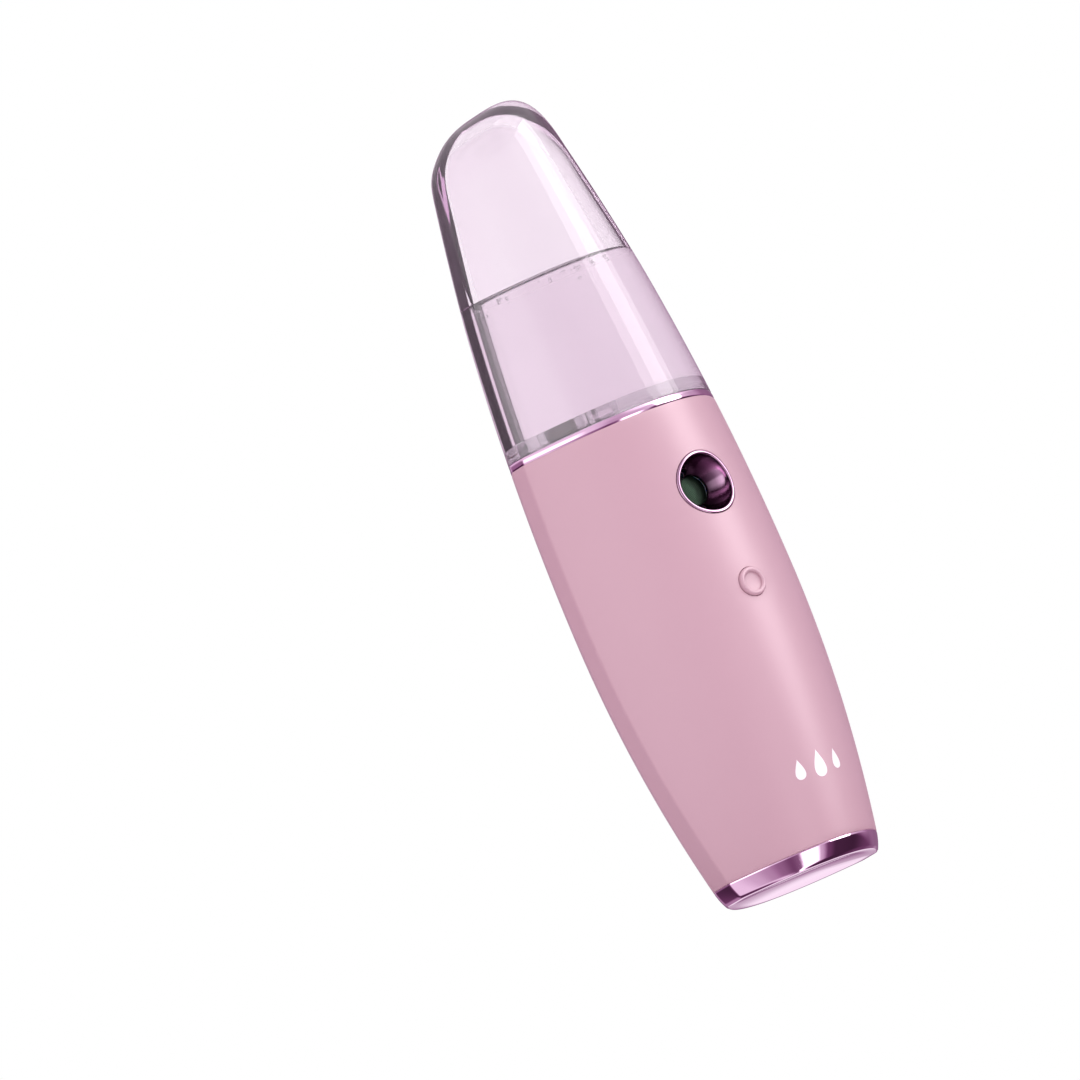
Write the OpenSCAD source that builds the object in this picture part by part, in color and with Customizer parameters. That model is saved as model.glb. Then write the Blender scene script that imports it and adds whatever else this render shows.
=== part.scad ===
// Handheld face mister: a clear water tank that lifts off a slim hand grip, with a
// round mist nozzle and a press button on the front and two charging sockets behind.
// +Z is up and -Y is the front. The origin is the middle of the base's underside.

/* [Outer shape] */
// Full width at the widest height
body_w = 44.8; // [40:0.2:56]
// Full depth at the widest height
body_d = 39; // [33:0.5:48]
// Height of the widest section above the base
widest_z = 50; // [42:1:60]
// Radius of the side outline's curve below the widest section
lower_curve_r = 186; // [150:1:260]
// Radius of the side outline's curve above the widest section
upper_curve_r = 377; // [340:1:600]
// Full width of the flat strip along each side
side_flat_w = 3.6; // [2:0.2:5]
// How much narrower the base is at its underside than just above it
base_tuck = 0.5; // [0:0.1:1]

/* [Heights] */
// Height of the chrome base cap
base_cap_h = 3; // [2:0.1:4]
// Height of the top rim of the hand grip
grip_top_z = 80.6; // [78:0.2:96]
// Height of the chrome trim between grip and tank
trim_h = 1.2; // [0.8:0.1:2]
// Height of the top of the tank, measured at its middle
tank_top_z = 140; // [130:0.2:168]
// Height of the tank's rounded shoulder, measured down from its top
shoulder_h = 10.7; // [8:0.1:13]
// Height that the slanted top gains for each unit towards +X
top_slant = 0.236; // [0:0.004:0.26]

/* [Walls] */
// Wall of the hand grip
grip_wall = 1.6; // [1.2:0.1:2.2]
// Wall of the clear tank
tank_wall = 3; // [2:0.2:3.6]
// Thickness of the tank's floor plate
tank_floor_t = 2.2; // [1.6:0.2:3]
// Gap between pieces that are fixed side by side
fixed_gap = 0.05; // [0.03:0.01:0.1]
// Radial clearance of a piece that slides in a hole
slide_gap = 0.06; // [0.03:0.01:0.1]

/* [Water] */
// Height of the air space over the water, measured down from the tank's top
air_space_h = 31.5; // [24:0.1:44]

/* [Nozzle] */
// Height of the nozzle's centre
nozzle_z = 65.8; // [62:0.2:67]
// Radius of the nozzle's outer sleeve
nozzle_r = 5.6; // [4.6:0.1:6.2]
// Radius of the nozzle's mouth
mouth_r = 5; // [4:0.1:5.2]
// Radius of the nozzle's throat
throat_r = 2.6; // [2:0.1:3]
// Depth of the nozzle's seat behind the grip's wall, at the rim of its holder
seat_depth = 1.144; // [0.9:0.002:1.6]
// Radius of the mesh disc
mesh_r = 4.5; // [4:0.1:5]
// Thickness of the mesh disc
mesh_t = 0.3; // [0.2:0.05:0.5]
// Thickness of the silicone ring on each side of the mesh
gasket_t = 0.4; // [0.3:0.1:0.6]

/* [Button] */
// Height of the button's centre
button_z = 47.5; // [44:0.5:50]
// Radius of the button
button_r = 2.5; // [2:0.1:3.2]
// How far the button's ring stands out of the grip
button_proud = 0.55; // [0.3:0.05:0.8]
// How far the button travels when it is pressed
button_travel = 0.5; // [0.3:0.05:0.7]

/* [Charging sockets] */
// Height of the sockets' centres
socket_z = 23.2; // [21:0.2:26]
// Distance between the two sockets
socket_pitch = 9; // [7:0.2:10]
// Outer radius of a metal socket
socket_r = 1.6; // [1.2:0.1:1.8]
// Radius of the hole that takes the charger's pin
socket_hole_r = 0.9; // [0.6:0.05:1]
// Depth of that hole
socket_hole_depth = 1.2; // [0.8:0.1:1.6]
// How far a socket's face lies below the grip's surface
socket_sink = 0.66; // [0.3:0.02:1]

/* [Tank outlet] */
// Outer radius of the outlet neck under the tank
neck_r = 4; // [3.4:0.1:4.6]
// Length of the outlet neck under the tank's floor plate
neck_len = 7.4; // [6:0.2:9]
// Radius of the neck's bore
neck_bore_r = 2.2; // [1.6:0.1:2.6]
// Cord radius of the neck's sealing ring
seal_cord_r = 0.8; // [0.6:0.05:1]
// Radius of the filling hole in the tank's floor plate
fill_hole_r = 3.6; // [3:0.1:4]
// Distance of the filling hole behind the outlet neck
fill_hole_y = 9.6; // [9:0.1:10]

/* [Inside the grip] */
// Diameter of the battery cell
cell_d = 14; // [10:0.5:14.5]
// Length of the battery cell
cell_len = 43; // [36:0.5:43]
// Thickness of the foam pad at each end of the cell
pad_t = 1; // [0.5:0.1:1.5]
// Thickness of the frame's plates
plate_t = 2; // [1.4:0.1:2.2]
// Thickness of the circuit boards
board_t = 1.4; // [0.8:0.1:1.6]
// Radius of the screws' shanks
screw_r = 1; // [0.8:0.05:1.1]
// Radius of the screws' heads
screw_head_r = 1.9; // [1.6:0.1:2]
// Height of the screws' heads
screw_head_h = 1.3; // [1:0.1:1.6]

/* [Smoothness] */
// Points along each of the section's two curved faces
face_points = 22; // [12:2:28]
// Facets of round pieces
$fn = 48; // [32:8:96]

/* [Hidden] */
eps = 0.01;

// The side outline: half the width at a height, and half the depth in proportion.
depth_share = body_d / body_w;
function half_w(z) = body_w / 2 - pow(z - widest_z, 2) / (2 * (z < widest_z ? lower_curve_r : upper_curve_r));
function half_d(z) = depth_share * half_w(z);

// The side flat is a little wider towards the base and fades out towards the top.
flat_fade_z = tank_top_z - 34;
function flat_share(z) =
    z < widest_z ? 1 + 0.28 * pow(1 - z / widest_z, 2)
    : z > flat_fade_z ? 1 - 0.7 * (z - flat_fade_z) / (tank_top_z - flat_fade_z) : 1;
function half_flat(z) = side_flat_w / 2 * flat_share(z);

// One level section, set in by a wall: two curved faces that meet the side flats at
// crisp corners. size scales the whole section about the axis, for the domed top.
flat_set_in = 0.29;
function section_w(z, wall) = half_w(z) - wall;
function section_d(z, wall) = half_d(z) - wall;
function section_flat(z, wall) = max(half_flat(z) - flat_set_in * wall, 0.3);
function face_y(z, wall, x) =
    section_d(z, wall) - (section_d(z, wall) - section_flat(z, wall)) * pow(x / section_w(z, wall), 2);
function face_share(i) = 2 * i / face_points - 1;
function section(z, wall = 0, size = 1) = [
    for (side = [-1, 1], i = [0 : face_points])
        let (x = -side * face_share(i) * section_w(z, wall))
        [x * size, side * face_y(z, wall, x) * size]];
function level(z, wall = 0) = [for (p = section(z, wall)) [p.x, p.y, z]];

// A ring of the tank's top: angle runs from 0 at the shoulder to 90 at the crown, and
// the slant lifts the side towards +X.
dome_power = 2.98;
dome_steps = 11;
dome_last_angle = 86.5;
slant_start_z = tank_top_z - 11.2;
function ease(t) = let (s = min(max(t, 0), 1)) s * s * (3 - 2 * s);
function slanted(p) = [p.x, p.y,
    p.z + top_slant * p.x * ease((p.z - slant_start_z) / (tank_top_z - slant_start_z))];
function dome_ring(angle, wall) =
    let (share = 2 / dome_power,
        z = tank_top_z - wall - shoulder_h * (1 - pow(sin(angle), share)))
    [for (p = section(z, wall, pow(cos(angle), share))) slanted([p.x, p.y, z])];
function dome_rings(wall) =
    [for (i = [0 : dome_steps]) dome_ring(dome_last_angle * i / dome_steps, wall)];
function wall_rings(z0, z1, steps, wall) =
    [for (i = [0 : steps]) [for (p = level(z0 + (z1 - z0) * i / steps, wall)) slanted(p)]];
function flipped(rings) = [for (i = [len(rings) - 1 : -1 : 0]) rings[i]];

// A solid through rings of points: capped at both ends, or closed back on itself.
module loft(rings, loop = false) {
    n = len(rings[0]);
    count = len(rings);
    spans = loop ? count : count - 1;
    sides = [for (k = [0 : spans - 1], j = [0 : n - 1])
        let (a = k * n + j, b = k * n + (j + 1) % n, up = ((k + 1) % count) * n,
            c = up + j, d = up + (j + 1) % n)
        each [[a, c, d], [a, d, b]]];
    first_cap = [for (j = [0 : n - 1]) j];
    last_cap = [for (j = [n - 1 : -1 : 0]) (count - 1) * n + j];
    polyhedron([for (r = rings) each r], loop ? sides : concat(sides, [first_cap, last_cap]), convexity = 6);
}
module sleeve(z0, z1, steps, outer, inner) {
    loft(concat(wall_rings(z0, z1, steps, outer), flipped(wall_rings(z0, z1, steps, inner))), loop = true);
}
module slab(z0, z1, wall, steps = 1) {
    loft(wall_rings(z0, z1, steps, wall));
}

// A cylinder along Y from y0 to y1, and a box between two corners.
module rod_y(r, y0, y1, x = 0, z = 0) {
    translate([x, y0, z]) rotate([-90, 0, 0]) cylinder(r = r, h = y1 - y0);
}
module rod_z(r, z0, z1, x = 0, y = 0) {
    translate([x, y, z0]) cylinder(r = r, h = z1 - z0);
}
module block(low, high) {
    translate(low) cube(high - low);
}
module both_sides() {
    for (side = [0, 1]) mirror([side, 0, 0]) children();
}

// Levels up the object.
trim_top_z = grip_top_z + trim_h;
water_z = tank_top_z - air_space_h;
inner_wall = grip_wall;
floor_z = trim_top_z + 0.4;
floor_top_z = floor_z + tank_floor_t;
deck_top_z = trim_top_z - 0.8;
deck_t = 2.6;
deck_z = deck_top_z - deck_t;
deck_wall = grip_wall + 0.15;

// Base cap and its fixing.
cap_floor_t = 1.2;
spigot_wall = 1.2;
spigot_h = 2.8;
spigot_top_z = base_cap_h + spigot_h;
plate_z = spigot_top_z + 0.6;
plate_top_z = plate_z + plate_t;
base_screw_x = cell_d / 2 + screw_head_r + 0.8;
screw_head_room = 0.3;
boss_r = screw_r + 1.6;

// Battery, standing on a pad on the frame's plate, with a bridge over it.
cell_y = 1.5;
cell_z = plate_top_z + pad_t;
cell_top_z = cell_z + cell_len;
bridge_z = cell_top_z + pad_t;
cell_room = 0.3;

// The frame's side rails and the upright that carries the main board.
rail_room = 1.55;
rail_w = 2.6;
rail_end_x = section_w(plate_top_z, inner_wall) - rail_room;
rail_x = rail_end_x - rail_w;
rail_half_d = 2.4;
rail_top_z = deck_z;
deck_screw_x = rail_x + rail_w / 2;
upright_t = 1.2;
upright_y = cell_y - cell_d / 2 - 1.7;
board_y = upright_y - upright_t;
board_front_y = board_y - board_t;
board_half_w = 10;
board_z = button_z - 17;
board_top_z = button_z + 8.5;

// Nozzle stack, from the grip's surface inwards. It seats behind the grip's wall.
nozzle_face_y = -half_d(nozzle_z);
nozzle_proud = 0.15;
flange_r = nozzle_r + 1;
holder_wall = 0.8;
holder_r = flange_r + fixed_gap + holder_wall;
holder_room = 0.244;
holder_lip_y = holder_room - face_y(nozzle_z, inner_wall, holder_r);
throat_y = seat_depth - face_y(nozzle_z, inner_wall, holder_r);
nozzle_depth = throat_y - nozzle_face_y;
flange_room = 0.208;
flange_t = throat_y + face_y(nozzle_z, inner_wall, flange_r) - flange_room;
mesh_y = throat_y + gasket_t;
mesh_back_y = mesh_y + mesh_t;
stack_back_y = mesh_back_y + gasket_t;
gasket_hole_r = throat_r + 0.2;
gasket_r = mesh_r;
duct_r = 2.2;
duct_bore_r = 1.3;

// Button and switch, from the grip's surface inwards.
button_face_y = -half_d(button_z);
button_crest_y = button_face_y - button_proud;
button_ring_r = 0.5;
button_hollow_r = button_r - 2 * button_ring_r + 0.1;
button_flange_r = button_r + 0.8;
button_flange_y = button_face_y + grip_wall + 0.7;
button_flange_t = 0.8;
switch_half = 3;
plunger_r = 1.6;
switch_front_y = button_flange_y + button_flange_t + 2 * button_travel;
plunger_room = 2 * button_travel;

// Outlet neck, its seal and the well in the deck that takes it.
neck_end_z = floor_z - neck_len;
seal_z = neck_end_z + 2.6;
seal_seat_r = neck_r - seal_cord_r;
seal_outer_r = seal_seat_r + 2 * seal_cord_r;
well_r = seal_outer_r + slide_gap;
well_wall = 1.6;
well_floor_z = neck_end_z - 0.8;
well_end_z = well_floor_z - 1.8;
fill_lip_r = fill_hole_r + 0.8;
fill_lip_t = 0.6;

// Charging sockets, from the grip's surface inwards.
socket_x = socket_pitch / 2;
socket_face_y = face_y(socket_z, 0, socket_x) - socket_sink;
socket_flange_r = socket_r + 0.7;
socket_flange_t = 1.2;
socket_back_y = face_y(socket_z, grip_wall, socket_x + socket_flange_r) - 0.3 - socket_flange_t;
socket_dish_r = socket_r + 0.5;
charge_board_y = socket_back_y - board_t;
charge_board_half_w = socket_x + 2.6;
charge_board_half_h = 3.4;

pink = [0.87, 0.70, 0.76];
plum_chrome = [0.50, 0.32, 0.50];
clear_lilac = [0.86, 0.78, 0.88, 0.4];
silicone = [0.93, 0.90, 0.93];
frame_white = [0.88, 0.86, 0.88];
steel = [0.75, 0.76, 0.78];

module housing() {
    color(pink) difference() {
        sleeve(base_cap_h, grip_top_z, 14, 0, grip_wall);
        rod_y(nozzle_r + fixed_gap, nozzle_face_y - 1, nozzle_face_y + 6, 0, nozzle_z);
        rod_y(button_r + slide_gap, button_face_y - 1, button_face_y + 6, 0, button_z);
        both_sides() {
            rod_y(socket_r + fixed_gap, socket_face_y - 5, socket_face_y + 3, socket_x, socket_z);
            rod_y(socket_dish_r, socket_face_y, socket_face_y + 3, socket_x, socket_z);
        }
    }
}

module base_cap() {
    outer = [for (i = [0 : 3]) let (z = base_cap_h * i / 3) level(z, base_tuck * pow(1 - z / base_cap_h, 2))];
    spigot = [level(base_cap_h, inner_wall + fixed_gap), level(spigot_top_z, inner_wall + fixed_gap)];
    pocket = [level(spigot_top_z, inner_wall + fixed_gap + spigot_wall),
        level(cap_floor_t, inner_wall + fixed_gap + spigot_wall)];
    color(plum_chrome) difference() {
        union() {
            loft(concat(outer, spigot, pocket));
            intersection() {
                both_sides() rod_z(boss_r, cap_floor_t - eps, plate_z, base_screw_x);
                slab(0, plate_z, inner_wall + fixed_gap, 4);
            }
        }
        both_sides() rod_z(screw_r, cap_floor_t + 0.8, plate_z + 1, base_screw_x);
    }
}

module collar_trim() {
    color(plum_chrome) sleeve(grip_top_z, trim_top_z, 1, 0, grip_wall);
}

// The frame inside the grip: plate, side rails, upright, battery bridge and saddle.
module chassis() {
    color(frame_white) difference() {
        union() {
            slab(plate_z, plate_top_z, inner_wall + 0.4);
            both_sides() {
                block([rail_x, -rail_half_d, plate_top_z - eps], [rail_end_x, rail_half_d, rail_top_z]);
                intersection() {
                    block([rail_x, upright_y - upright_t, board_z], [rail_end_x, 0, board_top_z]);
                    slab(board_z, board_top_z, inner_wall + fixed_gap);
                }
            }
            block([-rail_x - eps, upright_y - upright_t, board_z], [rail_x + eps, upright_y, rail_top_z - 4]);
            block([-rail_x - eps, upright_y - eps, bridge_z], [rail_x + eps, cell_y + cell_d / 2, bridge_z + plate_t]);
            block([-rail_x - eps, 0, socket_z - charge_board_half_h],
                [rail_x + eps, cell_y + cell_d / 2 - 2, socket_z + charge_board_half_h]);
            block([-charge_board_half_w, 0, socket_z - charge_board_half_h],
                [charge_board_half_w, charge_board_y, socket_z + charge_board_half_h]);
        }
        rod_z(cell_d / 2 + cell_room, plate_top_z, bridge_z, 0, cell_y);
        rod_y(duct_r + cell_room, board_y - 1, upright_y + 1, 0, nozzle_z);
        rod_z(well_r + well_wall + cell_room, well_end_z - cell_room, rail_top_z + 1);
        both_sides() {
            rod_z(screw_head_r + screw_head_room, plate_top_z, plate_top_z + screw_head_h + screw_head_room, base_screw_x);
            rod_z(screw_r + fixed_gap, plate_z - 1, plate_top_z + 1, base_screw_x);
            rod_z(screw_r, rail_top_z - 9, rail_top_z + 1, deck_screw_x);
        }
    }
}

// A screw pointing down, with a flat head and a cross slot.
module screw(head_z, length) {
    difference() {
        union() {
            rod_z(screw_r, head_z - length, head_z + eps);
            rod_z(screw_head_r, head_z, head_z + screw_head_h);
        }
        for (turn = [0, 90]) rotate(turn)
            translate([-screw_head_r / 2, -0.25, head_z + screw_head_h - 0.5]) cube([screw_head_r, 0.5, 1]);
    }
}

module base_screws() {
    color(steel) both_sides() translate([base_screw_x, 0, 0]) screw(plate_top_z, plate_top_z - cap_floor_t - 1);
}

module battery() {
    color([0.30, 0.45, 0.62]) {
        rod_z(cell_d / 2, cell_z, cell_top_z - 0.8, 0, cell_y);
        rod_z(cell_d / 5, cell_top_z - 0.8 - eps, cell_top_z, 0, cell_y);
    }
}

module battery_pads() {
    color([0.25, 0.25, 0.27]) {
        rod_z(cell_d / 2 - 0.5, plate_top_z, cell_z, 0, cell_y);
        rod_z(cell_d / 2 - 0.5, cell_top_z, bridge_z, 0, cell_y);
    }
}

module main_board() {
    chip = 5;
    color([0.16, 0.42, 0.26]) {
        block([-board_half_w, board_front_y, board_z], [board_half_w, board_y, board_top_z]);
        block([-chip / 2, board_front_y - 1, board_z + 2], [chip / 2, board_front_y + eps, board_z + 2 + chip]);
        both_sides() block([4.5, board_front_y - 1.6, board_z + 3], [8.5, board_front_y + eps, board_z + 7]);
    }
}

module switch_body() {
    color([0.15, 0.15, 0.16]) difference() {
        block([-switch_half, switch_front_y, button_z - switch_half],
            [switch_half, board_front_y, button_z + switch_half]);
        rod_y(plunger_r + slide_gap, switch_front_y - 1, switch_front_y + plunger_room, 0, button_z);
    }
}

// The button: a rounded ring round a shallow hollow, on a stem with a flange behind.
module power_button() {
    crest = button_ring_r;
    depth = button_flange_y - button_crest_y;
    outline = concat(
        [[0, 0.5], [button_hollow_r, 0.5]],
        [for (a = [150 : -15 : 0]) [button_r - crest + crest * cos(a), crest - crest * sin(a)]],
        [[button_r, depth], [button_flange_r, depth], [button_flange_r, depth + button_flange_t],
            [0, depth + button_flange_t]]);
    color(pink) translate([0, button_crest_y, button_z]) rotate([-90, 0, 0]) rotate_extrude() polygon(outline);
}

module switch_plunger() {
    plunger_y = button_flange_y + button_flange_t;
    color([0.9, 0.9, 0.9]) rod_y(plunger_r, plunger_y, switch_front_y + plunger_room / 2 - 0.05, 0, button_z);
}

// The nozzle: a chrome bowl whose rim follows the grip's surface, with a flange behind.
module mist_nozzle() {
    reach = nozzle_depth + 1;
    throat_lip = 0.4;
    bowl = [for (a = [0 : 10 : 90])
        [throat_r + (mouth_r - throat_r) * sin(a), -throat_lip - (nozzle_depth - throat_lip) * (1 - cos(a))]];
    outline = concat([[throat_r, 0]], bowl, [[mouth_r, -reach], [nozzle_r, -reach], [nozzle_r, -flange_t],
        [flange_r, -flange_t], [flange_r, 0]]);
    color(plum_chrome) intersection() {
        translate([0, throat_y, nozzle_z]) rotate([-90, 0, 0]) rotate_extrude() polygon(outline);
        slab(nozzle_z - 8, nozzle_z + 8, -nozzle_proud, 4);
    }
}

module washer_y(outer_r, inner_r, y0, y1) {
    difference() {
        rod_y(outer_r, y0, y1, 0, nozzle_z);
        rod_y(inner_r, y0 - 1, y1 + 1, 0, nozzle_z);
    }
}

module mesh_disc() {
    color([0.24, 0.28, 0.26]) rod_y(mesh_r, mesh_y, mesh_back_y, 0, nozzle_z);
}

module mesh_gaskets() {
    color(silicone) {
        washer_y(gasket_r, gasket_hole_r, throat_y, mesh_y);
        washer_y(gasket_r, gasket_hole_r, mesh_back_y, stack_back_y);
    }
}

module mist_holder() {
    color(frame_white) difference() {
        rod_y(holder_r, holder_lip_y, board_y, 0, nozzle_z);
        rod_y(flange_r + fixed_gap, holder_lip_y - 1, throat_y, 0, nozzle_z);
        rod_y(gasket_r + fixed_gap, throat_y - eps, stack_back_y, 0, nozzle_z);
        rod_y(gasket_hole_r, stack_back_y - eps, stack_back_y + 2, 0, nozzle_z);
        rod_y(duct_r + fixed_gap, stack_back_y + 1.9, board_y + 1, 0, nozzle_z);
    }
}

// The duct from the well under the tank down and forwards to the back of the mesh.
module water_duct() {
    duct_front_y = stack_back_y + 2 + fixed_gap;
    color(silicone) difference() {
        union() {
            rod_z(duct_r, nozzle_z, well_end_z);
            rod_y(duct_r, duct_front_y, 0, 0, nozzle_z);
            translate([0, 0, nozzle_z]) sphere(r = duct_r);
        }
        rod_z(duct_bore_r, nozzle_z, well_end_z + 1);
        rod_y(duct_bore_r, duct_front_y - 1, 0, 0, nozzle_z);
    }
}

module mesh_leads() {
    lead_r = 0.45;
    lead_x = 2;
    lead_y = board_y - board_t / 2;
    holder_edge_z = nozzle_z - sqrt(pow(holder_r, 2) - pow(lead_x, 2));
    color([0.7, 0.2, 0.2]) both_sides()
        rod_z(lead_r, board_top_z, holder_edge_z - fixed_gap, lead_x, lead_y);
}

// The plate that closes the grip's top, with the well for the tank's neck.
module deck() {
    color(clear_lilac) difference() {
        union() {
            slab(deck_z, deck_top_z, deck_wall);
            rod_z(well_r + well_wall, well_end_z, deck_z + eps);
        }
        rod_z(well_r, well_floor_z, deck_top_z + 1);
        rod_z(duct_bore_r, well_end_z - 1, well_floor_z + eps);
        both_sides() {
            rod_z(screw_r + fixed_gap, deck_z - 1, deck_top_z + 1, deck_screw_x);
            rod_z(screw_head_r + fixed_gap, deck_top_z - screw_head_h - 0.1, deck_top_z + 1, deck_screw_x);
        }
    }
}

module deck_screws() {
    head_z = deck_top_z - screw_head_h - 0.1;
    color(steel) both_sides() translate([deck_screw_x, 0, 0]) screw(head_z, head_z - rail_top_z + 8);
}

module charge_sockets() {
    color(steel) both_sides() difference() {
        union() {
            rod_y(socket_r, socket_back_y, socket_face_y, socket_x, socket_z);
            rod_y(socket_flange_r, socket_back_y, socket_back_y + socket_flange_t, socket_x, socket_z);
        }
        rod_y(socket_hole_r, socket_face_y - socket_hole_depth, socket_face_y + 1, socket_x, socket_z);
    }
}

module charge_board() {
    color([0.16, 0.42, 0.26])
        block([-charge_board_half_w, charge_board_y, socket_z - charge_board_half_h],
            [charge_board_half_w, socket_back_y, socket_z + charge_board_half_h]);
}

// The clear tank: inside of the dome, down the inner wall, across the rim, up outside.
module tank_shell() {
    shoulder_z = tank_top_z - shoulder_h;
    inside = concat(wall_rings(trim_top_z, shoulder_z - tank_wall, 8, tank_wall), dome_rings(tank_wall));
    outside = concat(wall_rings(trim_top_z, shoulder_z, 9, 0), dome_rings(0));
    color(clear_lilac) loft(concat(flipped(inside), outside));
}

module tank_floor() {
    color(clear_lilac) difference() {
        union() {
            slab(floor_z, floor_top_z, tank_wall + fixed_gap);
            rod_z(neck_r, neck_end_z, floor_z + eps);
        }
        rod_z(neck_bore_r, neck_end_z - 1, floor_top_z + 1);
        rod_z(fill_hole_r, floor_z - 1, floor_top_z + 1, 0, fill_hole_y);
        translate([0, 0, seal_z]) rotate_extrude() translate([neck_r, 0]) circle(r = seal_cord_r);
    }
}

// A silicone plug with a slit across it, which stops the neck's bore until it is used.
module slit_valve() {
    valve_t = 2;
    color(silicone) difference() {
        rod_z(neck_bore_r - fixed_gap, neck_end_z, neck_end_z + valve_t);
        rod_z(neck_bore_r * 0.6, neck_end_z + 0.6, neck_end_z + valve_t + 1);
    }
}

module neck_seal() {
    color([0.9, 0.88, 0.9]) translate([0, 0, seal_z]) rotate_extrude()
        translate([neck_r + fixed_gap, 0]) circle(r = seal_cord_r - fixed_gap);
}

module fill_plug() {
    color(silicone) {
        rod_z(fill_lip_r, floor_z - fill_lip_t, floor_z, 0, fill_hole_y);
        rod_z(fill_hole_r - fixed_gap, floor_z - eps, floor_top_z + eps, 0, fill_hole_y);
        rod_z(fill_lip_r, floor_top_z, floor_top_z + fill_lip_t, 0, fill_hole_y);
    }
}

module water_fill() {
    color([0.80, 0.68, 0.82, 0.5]) difference() {
        slab(floor_top_z, water_z, tank_wall + fixed_gap, 5);
        rod_z(fill_lip_r + fixed_gap, floor_top_z - 1, floor_top_z + fill_lip_t + fixed_gap, 0, fill_hole_y);
    }
}

housing();
base_cap();
collar_trim();
chassis();
base_screws();
battery();
battery_pads();
main_board();
switch_body();
power_button();
switch_plunger();
mist_nozzle();
mesh_disc();
mesh_gaskets();
mist_holder();
water_duct();
mesh_leads();
deck();
deck_screws();
charge_sockets();
charge_board();
tank_shell();
tank_floor();
slit_valve();
neck_seal();
fill_plug();
water_fill();
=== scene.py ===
import math

import bpy
import numpy as np
from mathutils import Matrix, Vector


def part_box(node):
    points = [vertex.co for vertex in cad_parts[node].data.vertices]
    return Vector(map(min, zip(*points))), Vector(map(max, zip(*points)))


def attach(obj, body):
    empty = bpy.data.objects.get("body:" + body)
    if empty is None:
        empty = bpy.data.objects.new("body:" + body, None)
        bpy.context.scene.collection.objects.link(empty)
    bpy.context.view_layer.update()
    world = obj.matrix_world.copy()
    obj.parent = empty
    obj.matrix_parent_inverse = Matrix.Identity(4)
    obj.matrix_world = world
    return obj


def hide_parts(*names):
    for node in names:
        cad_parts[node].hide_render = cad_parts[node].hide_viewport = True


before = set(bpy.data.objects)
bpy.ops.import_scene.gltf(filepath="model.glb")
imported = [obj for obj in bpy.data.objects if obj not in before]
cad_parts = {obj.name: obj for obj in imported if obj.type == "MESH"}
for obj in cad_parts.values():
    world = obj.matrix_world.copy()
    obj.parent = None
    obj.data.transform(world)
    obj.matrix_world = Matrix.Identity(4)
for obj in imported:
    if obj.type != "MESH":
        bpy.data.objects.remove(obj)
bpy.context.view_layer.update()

MM = 0.001

# ---------------------------------------------------------------- sizes, in millimetres


def box_mm(node):
    """A CAD node's lowest and highest corners, in millimetres."""
    low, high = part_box(node)
    return np.array(low) / MM, np.array(high) / MM


grip_low, grip_high = box_mm("housing")
cap_high = box_mm("base_cap")[1]
trim_high = box_mm("collar_trim")[1]
water_low, water_high = box_mm("water_fill")
floor_low = box_mm("tank_floor")[0]
nozzle_low, nozzle_high = box_mm("mist_nozzle")
gasket_low = box_mm("mesh_gaskets")[0]
mesh_low, mesh_high = box_mm("mesh_disc")
button_low, button_high = box_mm("power_button")
socket_low, socket_high = box_mm("charge_sockets")

BODY_HALF_W = (grip_high[0] - grip_low[0]) / 2
DEPTH_SHARE = 39 / 44.8
WIDEST_Z = 50
LOWER_CURVE_R = 186
UPPER_CURVE_R = 377
SIDE_FLAT_HALF = 1.8
FLAT_GROWTH_BELOW = 0.28
FLAT_FADE_ABOVE = 0.7
FLAT_SET_IN = 0.29
THINNEST_FLAT = 0.3
GRIP_WALL = 1.6
TANK_WALL = 3
TANK_TOP_Z = 140
SHOULDER_H = 10.7
DOME_POWER = 2.98
TOP_SLANT = 0.236
SLANT_START_Z = TANK_TOP_Z - 11.2
FLAT_FADE_Z = TANK_TOP_Z - 34
GRIP_BOTTOM_Z = grip_low[2]
GRIP_TOP_Z = grip_high[2]
TRIM_TOP_Z = trim_high[2]

# ---------------------------------------------------------------- the body's outline


def half_width(z):
    """Half the body's width at a height."""
    curve_r = np.where(np.asarray(z) < WIDEST_Z, LOWER_CURVE_R, UPPER_CURVE_R)
    return BODY_HALF_W - (np.asarray(z) - WIDEST_Z) ** 2 / (2 * curve_r)


def half_flat(z):
    """Half the width of the narrow flat down each side."""
    z = np.asarray(z, float)
    low = 1 + FLAT_GROWTH_BELOW * (1 - z / WIDEST_Z) ** 2
    fade = 1 - FLAT_FADE_ABOVE * (z - FLAT_FADE_Z) / (TANK_TOP_Z - FLAT_FADE_Z)
    return SIDE_FLAT_HALF * np.where(z < WIDEST_Z, low, np.where(z > FLAT_FADE_Z, fade, 1.0))


def section_sizes(z, wall):
    """Half width, half depth and half flat of the level section set in by a wall."""
    w = half_width(z) - wall
    d = DEPTH_SHARE * half_width(z) - wall
    f = np.maximum(half_flat(z) - FLAT_SET_IN * wall, THINNEST_FLAT)
    return w, d, f


def face_depth(x, z, wall=0.0):
    """Distance of the front or back face from the middle plane."""
    w, d, f = section_sizes(z, wall)
    return d - (d - f) * (np.asarray(x) / w) ** 2


FACE_STEPS = 64
CORNER_STEPS = 4
CORNER_ROUND = 0.4
CORNER_MOST = 0.6  # of half the flat
FACE_STOP = 0.55  # of the corner, short of the body's side


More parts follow.
